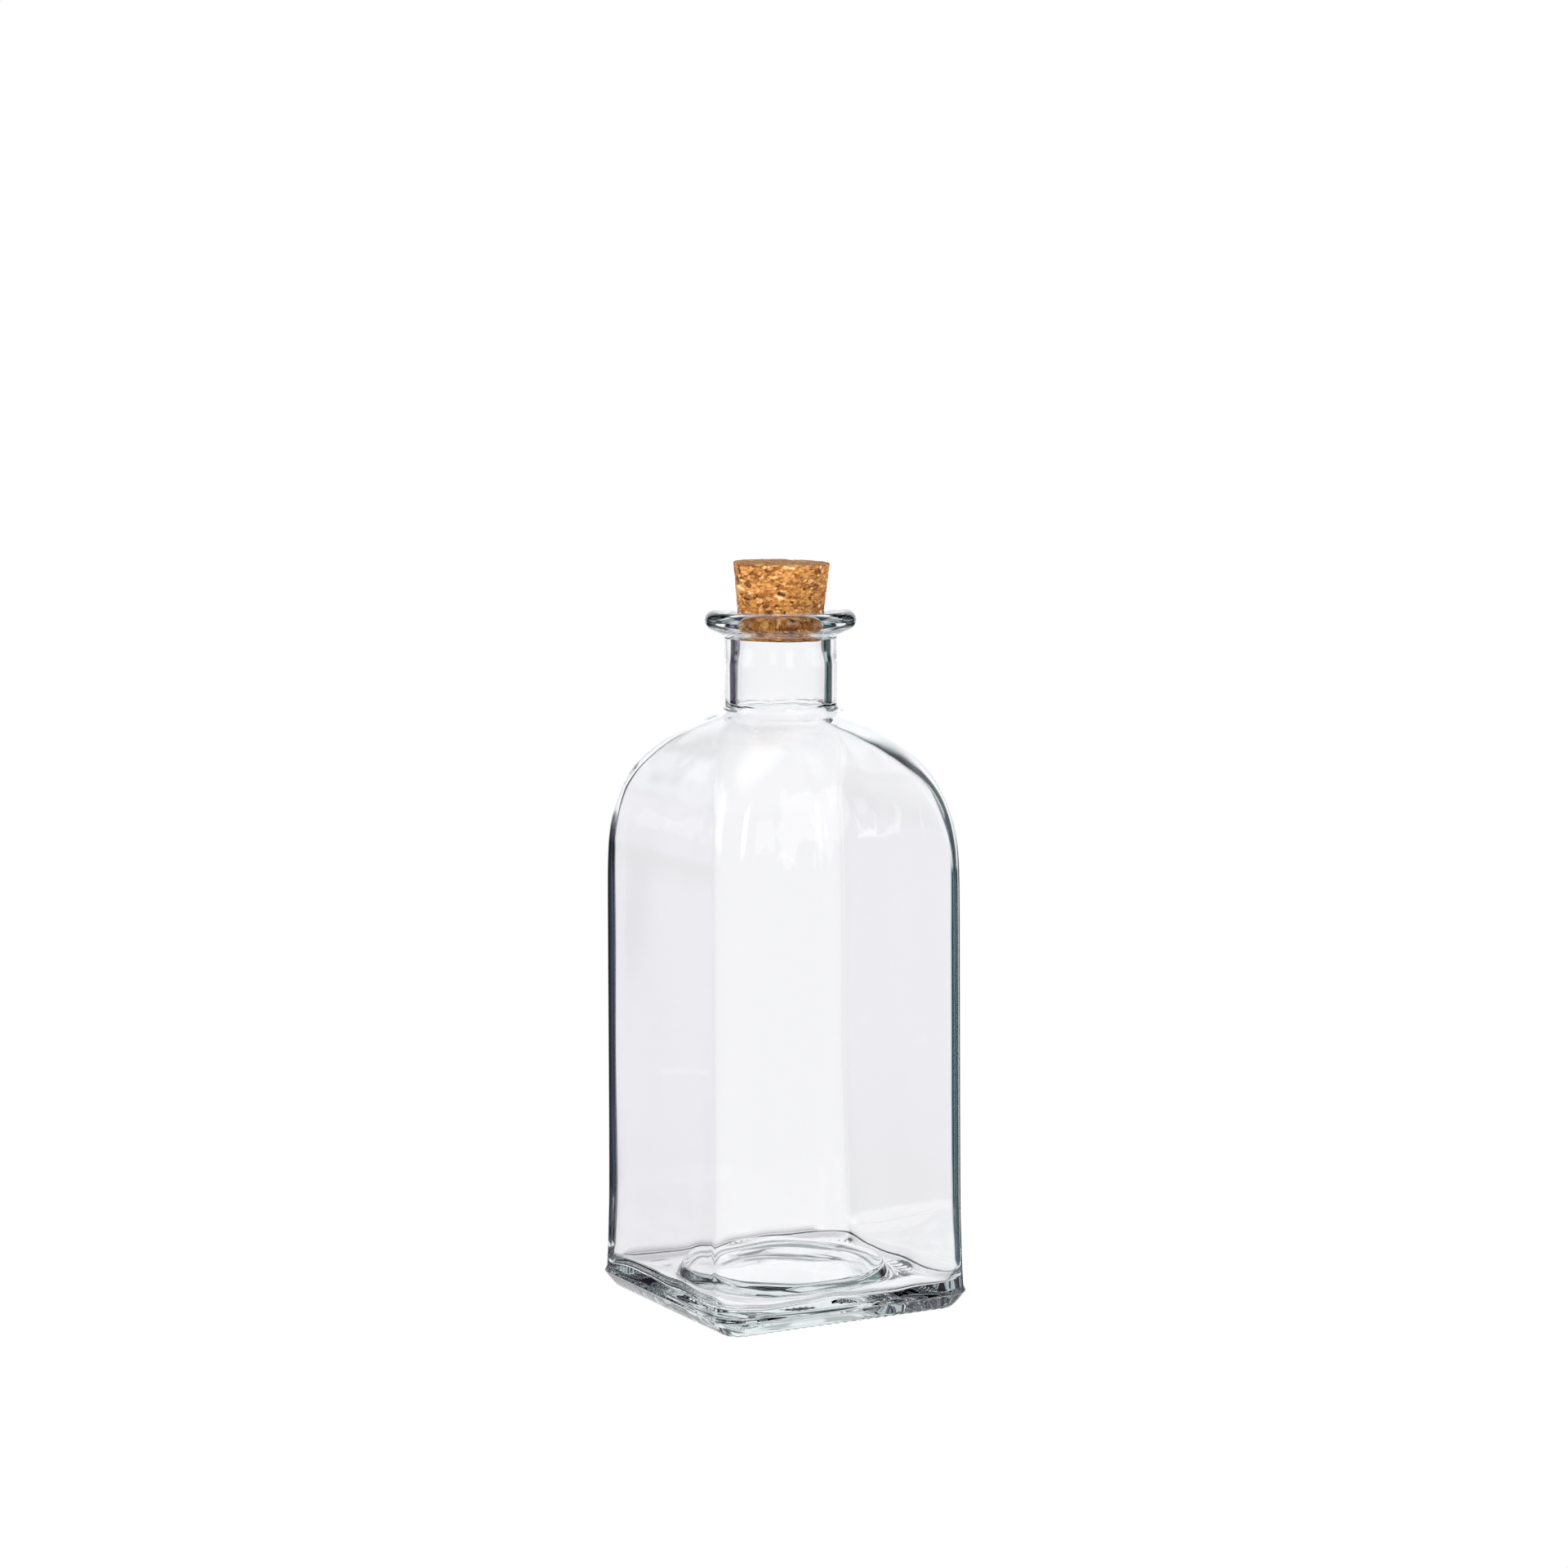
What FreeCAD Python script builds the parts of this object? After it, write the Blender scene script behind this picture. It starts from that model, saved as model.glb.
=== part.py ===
import FreeCAD, Part
import math
import os

# Square clear-glass bottle with arched shoulders, a round neck with a wide
# rounded lip, and a tapered cork stopper pushed into the mouth. The bottle is
# empty. Millimetres, +Z up. Origin: centre of the foot, on the surface that
# the bottle stands on. The four flat sides face +X, -X, +Y and -Y.

# ---------------------------------------------------------------- dimensions
BODY_HALF = 42.6          # half of the flat-to-flat width at mid height
CORNER_R = 8.5            # radius of the upright corners
WALL = 2.0                # glass thickness of the sides

FOOT_RIDGE_HALF = 44.0    # widest line, the mould seam just above the foot
FOOT_RIDGE_R = 8.9
FOOT_RIDGE_Z = 5.4
RING_HALF = 38.6          # outer edge of the flat ring that touches the table
RING_INNER_R = 31.0       # the hollow under the base starts here
PUNT_RISE = 3.4           # how far the underside rises in the middle

# outline of one flat side: height, half width, corner radius there
BODY_PROFILE = (
    (6.6, 43.45, 8.7),
    (12.0, 43.2, 8.6),
    (20.0, 43.0, 8.6),
    (30.0, 42.75, 8.5),
    (60.0, BODY_HALF, CORNER_R),
    (100.0, 42.5, CORNER_R),
    (130.0, 42.4, CORNER_R),
    (141.0, 42.2, 8.6),
    (147.0, 41.75, 8.8),
    (152.0, 41.05, 9.0),
    (157.0, 40.0, 9.5),
    (162.0, 38.55, 10.4),
    (167.0, 36.75, 12.0),
    (172.0, 34.1, 14.2),
    (177.0, 30.05, 16.4),
    (181.0, 24.9, 17.6),
    (183.6, 20.2, 17.8),
)
NECK_ROOT_Z = 185.4       # the shoulder has become the round neck here

NECK_R = 17.3
NECK_BORE_R = 14.0        # inside of the neck
MOUTH_R = 13.3            # the mouth is a little narrower than the neck
MOUTH_STEP_Z = 204.4
LIP_R = 23.3
LIP_ROOT_Z = 207.9        # underside of the lip at the neck
LIP_WIDE_Z = 212.6        # height of the lip's outermost line
LIP_TOP_Z = 215.4

SHOULDER_Z = 128.0        # the sides are straight below this height

INNER_CORNER_R = 7.0
FLOOR_Z = 7.6             # glass floor round the push-up
PUSHUP_R = 33.0           # raised round middle of the floor
PUSHUP_TOP_Z = 12.4

CORK_TOP_Z = 230.2
CORK_BOTTOM_Z = 206.7
CORK_TOP_R = 14.9
CORK_BOTTOM_R = 12.4
CORK_CHAMFER = 0.5
CORK_TILT = 1.3           # degrees; the stopper is pushed in slightly askew
CORK_LEANS_TO = -28.6     # direction, about Z from +X, of the stopper's low side


# ------------------------------------------------------------------- helpers
def rounded_square(half, radius, z):
    """A closed wire: four straight runs and four quarter arcs."""
    c = half - radius
    edges = []
    for k in range(4):
        a0 = math.pi / 2 * k
        # centre of this corner
        cx = c if k in (0, 3) else -c
        cy = c if k in (0, 1) else -c
        p = [
            FreeCAD.Vector(cx + radius * math.cos(a), cy + radius * math.sin(a), z)
            for a in (a0, a0 + math.pi / 4, a0 + math.pi / 2)
        ]
        edges.append(Part.Arc(p[0], p[1], p[2]).toShape())
        n = (k + 1) % 4
        nx = c if n in (0, 3) else -c
        ny = c if n in (0, 1) else -c
        q = FreeCAD.Vector(
            nx + radius * math.cos(a0 + math.pi / 2),
            ny + radius * math.sin(a0 + math.pi / 2),
            z,
        )
        edges.append(Part.LineSegment(p[2], q).toShape())
    return Part.Wire(edges)


def loft(sections, ruled=False):
    return Part.makeLoft([rounded_square(a, r, z) for z, a, r in sections], True, ruled)


def monotone(table, z, column):
    """Smooth value between the rows of a table, with no overshoot."""
    zs = [row[0] for row in table]
    vs = [row[column] for row in table]
    n = len(zs)
    d = [(vs[i + 1] - vs[i]) / (zs[i + 1] - zs[i]) for i in range(n - 1)]
    m = [d[0]]
    for i in range(1, n - 1):
        if d[i - 1] * d[i] <= 0:
            m.append(0.0)
        else:
            h0, h1 = zs[i] - zs[i - 1], zs[i + 1] - zs[i]
            w0, w1 = 2 * h1 + h0, h1 + 2 * h0
            m.append((w0 + w1) / (w0 / d[i - 1] + w1 / d[i]))
    m.append(d[-1])
    i = 0
    while i < n - 2 and z > zs[i + 1]:
        i += 1
    h = zs[i + 1] - zs[i]
    t = (z - zs[i]) / h
    return (
        (2 * t ** 3 - 3 * t ** 2 + 1) * vs[i]
        + (t ** 3 - 2 * t ** 2 + t) * h * m[i]
        + (-2 * t ** 3 + 3 * t ** 2) * vs[i + 1]
        + (t ** 3 - t ** 2) * h * m[i + 1]
    )


def sections_between(table, low, high, count):
    """Evenly spaced sections read from the table."""
    out = []
    for i in range(count):
        z = low + (high - low) * i / (count - 1)
        out.append((z, monotone(table, z, 1), monotone(table, z, 2)))
    return out


def turned(points):
    """Solid of revolution about Z. points: radius, height, and for an arc the
    through-point first: (r, z) or ((r_mid, z_mid), (r, z))."""
    edges = []
    last = None
    for p in points:
        if isinstance(p[0], tuple):
            m = FreeCAD.Vector(p[0][0], 0, p[0][1])
            e = FreeCAD.Vector(p[1][0], 0, p[1][1])
            edges.append(Part.Arc(last, m, e).toShape())
        else:
            e = FreeCAD.Vector(p[0], 0, p[1])
            if last is not None:
                edges.append(Part.LineSegment(last, e).toShape())
        last = e
    first = edges[0].Vertexes[0].Point
    if (last - first).Length > 1e-6:
        edges.append(Part.LineSegment(last, first).toShape())
    face = Part.Face(Part.Wire(edges))
    return face.revolve(FreeCAD.Vector(0, 0, 0), FreeCAD.Vector(0, 0, 1), 360)


def cap_mid(radius, z_edge, z_top):
    """Through-point of a shallow spherical cap centred on the axis."""
    rise = z_top - z_edge
    ball = (radius ** 2 + rise ** 2) / (2 * rise)
    half = radius / 2
    return (half, z_top - ball + math.copysign(math.sqrt(ball ** 2 - half ** 2), ball))


def inset_profile(profile, wall):
    """The side outline moved inwards by the wall thickness."""
    out = []
    n = len(profile)
    for i, (z, a, r) in enumerate(profile):
        z0, a0, _ = profile[max(i - 1, 0)]
        z1, a1, _ = profile[min(i + 1, n - 1)]
        dz, da = z1 - z0, a1 - a0
        length = math.hypot(dz, da)
        out.append((z + da / length * wall, a - dz / length * wall, r))
    return out


# -------------------------------------------------------------- outer shape
ring = FOOT_RIDGE_HALF - RING_HALF
foot_sections = []
for s, z in ((ring, 0.0), (4.3, 0.3), (3.3, 1.0), (2.1, 2.35), (0.6, 4.4), (0.0, FOOT_RIDGE_Z)):
    foot_sections.append((z, FOOT_RIDGE_HALF - s, FOOT_RIDGE_R - 0.8 * s))
foot = loft(foot_sections, ruled=True)
seam = loft([(FOOT_RIDGE_Z, FOOT_RIDGE_HALF, FOOT_RIDGE_R), BODY_PROFILE[0]], ruled=True)
root_z, root_half, root_r = BODY_PROFILE[-1]
straight = [row for row in BODY_PROFILE if row[0] < SHOULDER_Z]
straight.append((SHOULDER_Z, monotone(BODY_PROFILE, SHOULDER_Z, 1), monotone(BODY_PROFILE, SHOULDER_Z, 2)))
arch = sections_between(BODY_PROFILE, SHOULDER_Z, root_z, 18)
body = loft(straight, ruled=True).fuse(loft(arch))
collar = loft([(root_z, root_half, root_r), (NECK_ROOT_Z, NECK_R + 0.35, NECK_R + 0.25)], ruled=True)
neck = turned([
    (0.0, root_z - 8.0),
    (NECK_R, root_z - 8.0),
    (NECK_R, LIP_ROOT_Z - 0.9),
    ((NECK_R + 0.28, LIP_ROOT_Z - 0.2), (NECK_R + 0.95, LIP_ROOT_Z + 0.25)),
    (LIP_R - 2.0, LIP_ROOT_Z + 1.7),
    ((LIP_R, LIP_WIDE_Z), (LIP_R - 2.4, LIP_TOP_Z - 0.12)),
    (MOUTH_R + 3.0, LIP_TOP_Z),
    (0.0, LIP_TOP_Z),
])
outer = foot
for piece in (seam, body, collar, neck):
    outer = outer.fuse(piece)

# ------------------------------------------------------------- inner hollow
inner_arch = []
for z, a, r in inset_profile(arch, WALL):
    inner_arch.append((z, a, max(INNER_CORNER_R, min(r - 1.6, a - 0.25))))
inner_arch = [s for s in inner_arch if s[1] > NECK_BORE_R + 0.6]
inner_table = [(arch[0][0], arch[0][1] - WALL, INNER_CORNER_R)] + inner_arch[1:]
inner_arch = sections_between(inner_table, inner_table[0][0], inner_table[-1][0], 18)
inner_straight = [(z, a - WALL, INNER_CORNER_R) for z, a, r in straight if z > 18.0]
wall_half = BODY_PROFILE[1][1] - WALL
start = [
    (FLOOR_Z, wall_half - 6.2, INNER_CORNER_R),
    (FLOOR_Z + 0.55, wall_half - 3.2, INNER_CORNER_R),
    (FLOOR_Z + 2.1, wall_half - 1.15, INNER_CORNER_R),
    (FLOOR_Z + 5.2, wall_half - 0.1, INNER_CORNER_R),
]
hollow_floor = loft(start, ruled=True)
hollow_body = loft([start[-1]] + inner_straight, ruled=True).fuse(loft(inner_arch))
top_z, top_half, top_r = inner_arch[-1]
hollow_neck_root = loft([(top_z, top_half, top_r), (top_z + 1.6, NECK_BORE_R + 0.2, NECK_BORE_R + 0.1)], ruled=True)
hollow_neck = turned([
    (0.0, top_z - 6.0),
    (NECK_BORE_R, top_z - 6.0),
    (NECK_BORE_R, MOUTH_STEP_Z - 1.5),
    (MOUTH_R, MOUTH_STEP_Z),
    (MOUTH_R, LIP_TOP_Z - 1.3),
    ((MOUTH_R + 0.38, LIP_TOP_Z - 0.38), (MOUTH_R + 1.3, LIP_TOP_Z)),
    (MOUTH_R + 1.3, LIP_TOP_Z + 2.0),
    (0.0, LIP_TOP_Z + 2.0),
])
hollow = hollow_floor
for piece in (hollow_body, hollow_neck_root, hollow_neck):
    hollow = hollow.fuse(piece)

# raised middle of the floor, with steep rounded sides
pushup = turned([
    (0.0, FLOOR_Z - 3.0),
    (PUSHUP_R + 1.8, FLOOR_Z - 3.0),
    (PUSHUP_R + 1.8, FLOOR_Z),
    ((PUSHUP_R - 0.4, FLOOR_Z + 1.4), (PUSHUP_R - 2.0, FLOOR_Z + 3.2)),
    (cap_mid(PUSHUP_R - 2.0, FLOOR_Z + 3.2, PUSHUP_TOP_Z), (0.0, PUSHUP_TOP_Z)),
])
hollow = hollow.cut(pushup)

# shallow hollow under the base
punt = turned([
    (0.0, -1.0),
    (RING_INNER_R + 1.0, -1.0),
    (RING_INNER_R, 0.0),
    ((RING_INNER_R - 3.0, 1.5), (RING_INNER_R - 8.0, 2.3)),
    (cap_mid(RING_INNER_R - 8.0, 2.3, PUNT_RISE), (0.0, PUNT_RISE)),
])

bottle = outer.cut(hollow).cut(punt)
bottle = bottle.removeSplitter()
if bottle.ShapeType != "Solid":
    bottle = bottle.Solids[0] if len(bottle.Solids) == 1 else bottle

# ------------------------------------------------------------------ stopper
slope = (CORK_TOP_R - CORK_BOTTOM_R) / (CORK_TOP_Z - CORK_BOTTOM_Z)
cork = turned([
    (0.0, CORK_BOTTOM_Z),
    (CORK_BOTTOM_R - CORK_CHAMFER, CORK_BOTTOM_Z),
    (CORK_BOTTOM_R + slope * CORK_CHAMFER, CORK_BOTTOM_Z + CORK_CHAMFER),
    (CORK_TOP_R - slope * CORK_CHAMFER, CORK_TOP_Z - CORK_CHAMFER),
    (CORK_TOP_R - CORK_CHAMFER, CORK_TOP_Z),
    (0.0, CORK_TOP_Z),
])

toward = math.radians(CORK_LEANS_TO)
cork.rotate(
    FreeCAD.Vector(0, 0, LIP_TOP_Z - 1.9),
    FreeCAD.Vector(-math.sin(toward), math.cos(toward), 0),
    CORK_TILT,
)

# ------------------------------------------------------------------- output
os.makedirs("parts", exist_ok=True)
for name, shape in (("bottle", bottle), ("cork", cork)):
    shape.exportStep(os.path.join("parts", name + ".step"))
    box = shape.BoundBox
    print(
        name, shape.ShapeType, "valid", shape.isValid(), "solids", len(shape.Solids),
        "faces", len(shape.Faces), "volume %.1f cm3" % (shape.Volume / 1000.0),
        "box %.2f %.2f %.2f - %.2f %.2f %.2f" % (box.XMin, box.YMin, box.ZMin, box.XMax, box.YMax, box.ZMax),
    )
clash = bottle.common(cork).Volume
print("overlap of cork and glass %.4f mm3" % clash)
print("room inside to the brim %.1f cm3" % (hollow.Volume / 1000.0 - math.pi * MOUTH_R ** 2 * 2.0 / 1000.0))
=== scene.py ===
import math
import bpy
import numpy as np
from mathutils import Matrix, Vector


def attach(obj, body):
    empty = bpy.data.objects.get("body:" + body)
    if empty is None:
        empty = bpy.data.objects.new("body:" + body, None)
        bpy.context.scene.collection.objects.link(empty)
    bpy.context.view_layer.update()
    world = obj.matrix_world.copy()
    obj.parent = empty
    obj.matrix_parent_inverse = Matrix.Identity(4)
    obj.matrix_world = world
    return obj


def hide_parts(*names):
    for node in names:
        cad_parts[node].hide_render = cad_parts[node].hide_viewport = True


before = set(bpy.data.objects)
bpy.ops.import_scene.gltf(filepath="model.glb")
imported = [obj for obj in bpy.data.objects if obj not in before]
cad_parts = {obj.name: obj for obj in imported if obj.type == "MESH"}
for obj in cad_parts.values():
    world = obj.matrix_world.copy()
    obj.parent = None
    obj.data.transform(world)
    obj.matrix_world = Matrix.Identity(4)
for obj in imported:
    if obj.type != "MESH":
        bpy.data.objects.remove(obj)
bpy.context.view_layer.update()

MM = 0.001
TAU = 2.0 * math.pi

# ------------------------------------------------------------------ camera
# square frame, the bottle's axis at the origin; distances in metres
CAM_AZIMUTH = math.radians(28.64)      # the camera stands this far left of -Y
CAM_DISTANCE = 1.2239
CAM_HEIGHT = 0.3088
CAM_DOWN = math.radians(6.86)
CAM_YAW = math.radians(0.04)
CAM_ROLL = math.radians(-0.23)
CAM_LENS = 91.67


def add_camera():
    cam_data = bpy.data.cameras.new("camera")
    cam = bpy.data.objects.new("camera", cam_data)
    bpy.context.scene.collection.objects.link(cam)
    cam_data.sensor_fit = "HORIZONTAL"
    cam_data.sensor_width = 36.0
    cam_data.lens = CAM_LENS
    cam_data.clip_start = 0.02
    cam_data.clip_end = 20.0
    fwd0 = np.array([math.sin(CAM_YAW), math.cos(CAM_YAW), 0.0])
    right0 = np.array([math.cos(CAM_YAW), -math.sin(CAM_YAW), 0.0])
    fwd = fwd0 * math.cos(CAM_DOWN) + np.array([0, 0, -1.0]) * math.sin(CAM_DOWN)
    up = np.cross(right0, fwd)
    right = right0 * math.cos(CAM_ROLL) + up * math.sin(CAM_ROLL)
    up2 = -right0 * math.sin(CAM_ROLL) + up * math.cos(CAM_ROLL)
    c, s = math.cos(CAM_AZIMUTH), math.sin(CAM_AZIMUTH)
    turn = np.array([[c, s, 0], [-s, c, 0], [0, 0, 1]])
    right, up2, fwd = turn @ right, turn @ up2, turn @ fwd
    pos = turn @ np.array([0, -CAM_DISTANCE, CAM_HEIGHT])
    m = Matrix.Identity(4)
    for i in range(3):
        m[i][0], m[i][1], m[i][2], m[i][3] = right[i], up2[i], -fwd[i], pos[i]
    cam.matrix_world = m
    bpy.context.scene.camera = cam
    return cam


camera = add_camera()

# ----------------------------------------------------------------- helpers


def smoothstep(lo, hi, x):
    t = np.clip((np.asarray(x, float) - lo) / (hi - lo), 0.0, 1.0)
    return t * t * (3.0 - 2.0 * t)


def monotone(xs, ys, x):
    """Smooth value between table rows without overshoot; xs rise."""
    xs, ys = np.asarray(xs, float), np.asarray(ys, float)
    h = np.diff(xs)
    d = np.diff(ys) / h
    m = np.empty(len(xs))
    m[0], m[-1] = d[0], d[-1]
    for i in range(1, len(xs) - 1):
        if d[i - 1] * d[i] <= 0:
            m[i] = 0.0
        else:
            w0, w1 = 2 * h[i] + h[i - 1], h[i] + 2 * h[i - 1]
            m[i] = (w0 + w1) / (w0 / d[i - 1] + w1 / d[i])
    x = np.asarray(x, float)
    i = np.clip(np.searchsorted(xs, x) - 1, 0, len(xs) - 2)
    t = np.clip((x - xs[i]) / h[i], 0.0, 1.0)
    return ((2 * t**3 - 3 * t**2 + 1) * ys[i] + (t**3 - 2 * t**2 + t) * h[i] * m[i]
            + (-2 * t**3 + 3 * t**2) * ys[i + 1] + (t**3 - t**2) * h[i] * m[i + 1])


def swell(seed, p, waves):
    """Sum of fixed sine swells of the positions p (mm).
    waves: (wavelength, height, count, how much it is drawn out upright)."""
    rng = np.random.RandomState(seed)
    out = np.zeros(len(p))
    for length, height, count, upright in waves:
        part = np.zeros(len(p))
        for _ in range(count):
            d = rng.normal(size=3)
            d /= np.linalg.norm(d)
            d[2] /= upright
            k = length * rng.uniform(0.75, 1.35)
            part += np.sin(TAU / k * (p @ d) + rng.uniform(0, TAU))
        out += height * part / math.sqrt(count)
    return out


def arc3(p0, pm, p1, n):
    """n points after p0 along the arc through pm to p1, in a plane."""
    (ax, ay), (bx, by), (cx, cy) = p0, pm, p1
    d = 2 * (ax * (by - cy) + bx * (cy - ay) + cx * (ay - by))
    ux = ((ax**2 + ay**2) * (by - cy) + (bx**2 + by**2) * (cy - ay) + (cx**2 + cy**2) * (ay - by)) / d
    uy = ((ax**2 + ay**2) * (cx - bx) + (bx**2 + by**2) * (ax - cx) + (cx**2 + cy**2) * (bx - ax)) / d
    a0 = math.atan2(ay - uy, ax - ux)
    am = math.atan2(by - uy, bx - ux)
    a1 = math.atan2(cy - uy, cx - ux)
    if (am - a0) % TAU < (a1 - a0) % TAU:
        sweep = (a1 - a0) % TAU
    else:
        sweep = -((a0 - a1) % TAU)
    r = math.hypot(ax - ux, ay - uy)
    return [(ux + r * math.cos(a0 + sweep * i / n), uy + r * math.sin(a0 + sweep * i / n)) for i in range(1, n + 1)]


def ring(half, radius, n):
    """n points evenly spaced round a rounded square, from the middle of +X.
    radius: one, or four for the corners (+X+Y, -X+Y, -X-Y, +X-Y)."""
    s = np.arange(n) / n * 4.0
    k = np.minimum(s.astype(int), 3)
    radius = np.minimum(np.broadcast_to(np.asarray(radius, float), (4,)), half)[k]
    flat = half - radius
    bend = math.pi / 2 * radius
    s = (s - k) * (2 * flat + bend)
    phi = np.clip((s - flat) / np.maximum(radius, 1e-9), 0.0, math.pi / 2)
    x = flat + radius * np.cos(phi)
    y = flat + radius * np.sin(phi)
    one = s < flat
    three = s > flat + bend
    x = np.where(one, half, np.where(three, flat - (s - flat - bend), x))
    y = np.where(one, s, np.where(three, half, y))
    c, sn = np.array([1, 0, -1, 0])[k], np.array([0, 1, 0, -1])[k]
    return np.stack([x * c - y * sn, x * sn + y * c], -1)


def square_depth(x, y, half, radius):
    """How far a point lies inside a rounded square."""
    q = np.stack([np.abs(x), np.abs(y)], -1) - (half - radius)
    outside = np.linalg.norm(np.maximum(q, 0), axis=-1)
    inside = np.minimum(q.max(-1), 0)
    return -(outside + inside - radius)


def new_mesh(name, verts, faces, smooth=True):
    me = bpy.data.meshes.new(name)
    me.from_pydata([tuple(v) for v in verts], [], faces)
    me.update()
    if smooth:
        me.polygons.foreach_set("use_smooth", [True] * len(me.polygons))
    me.validate()
    ob = bpy.data.objects.new(name, me)
    bpy.context.scene.collection.objects.link(ob)
    return ob


# ------------------------------------------------------------------- glass
N = 324                 # points round each ring
FINE = 3                # the knurled foot ring has this many times more
TEETH = 108
KNURL = 0.16            # depth of the notches in the foot ring, mm
WALL = 1.9

PROFILE = np.array((
    (6.6, 43.45, 8.7), (12.0, 43.2, 8.6), (20.0, 43.0, 8.6), (30.0, 42.75, 8.5),
    (60.0, 42.6, 8.5), (100.0, 42.5, 8.5), (130.0, 42.4, 8.5), (141.0, 42.2, 8.6),
    (147.0, 41.75, 8.8), (152.0, 41.05, 9.0), (157.0, 40.0, 9.5), (162.0, 38.55, 10.4),
    (167.0, 36.75, 12.0), (172.0, 34.1, 14.2), (177.0, 30.05, 16.4), (181.0, 24.9, 17.6),
    (183.6, 20.2, 17.8)))

LIP_ROOT_Z, LIP_WIDE_Z, LIP_TOP_Z = 207.9, 212.6, 215.4
NECK_R, BORE_R, MOUTH_R, LIP_R = 17.3, 14.0, 13.3, 23.3
FLOOR_Z, PUSHUP_R, PUSHUP_TOP_Z = 7.6, 33.0, 12.4
# upright corners of the hollow, each a little different as blown
IN_R = np.array([7.4, 8.8, 7.2, 6.0])
# the hollow sits this far off the middle, so two walls are 0.1 mm thinner
IN_SHIFT = np.array([-0.1, 0.1])


def outline(z):
    return monotone(PROFILE[:, 0], PROFILE[:, 1], z), monotone(PROFILE[:, 0], PROFILE[:, 2], z)


def cap_height(rho, radius, z_edge, z_top):
    rise = z_top - z_edge
    ball = (radius**2 + rise**2) / (2 * rise)
    return z_top - ball + np.sqrt(ball**2 - np.minimum(rho, radius) ** 2)


SKIRT = 43.2 - WALL     # half width of the hollow just above the floor


def floor_height(x, y):
    """Top of the glass floor: a fillet along the walls and a raised round middle."""
    depth = square_depth(x, y, SKIRT, 7.2)
    fillet = monotone((0.1, 0.45, 1.0, 1.9, 3.2, 6.2), (10.9, 9.7, 8.9, 8.3, 7.85, FLOOR_Z), np.clip(depth, 0.1, 6.2))
    # the fillet is lower along two of the walls
    fillet = FLOOR_Z + (fillet - FLOOR_Z) * (1 - 0.6 * np.maximum(smoothstep(14.0, 38.0, x), smoothstep(14.0, 38.0, y)))
    rho = np.hypot(x, y)
    side = monotone((30.2, 30.9, 31.9, 33.0, 34.8), (11.6, 11.1, 9.7, 8.3, FLOOR_Z), np.clip(rho, 30.2, 34.8))
    top = cap_height(rho, 30.2, 11.6, PUSHUP_TOP_Z)
    raised = np.where(rho < 30.2, top, side)
    return fillet + raised - FLOOR_Z


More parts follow.
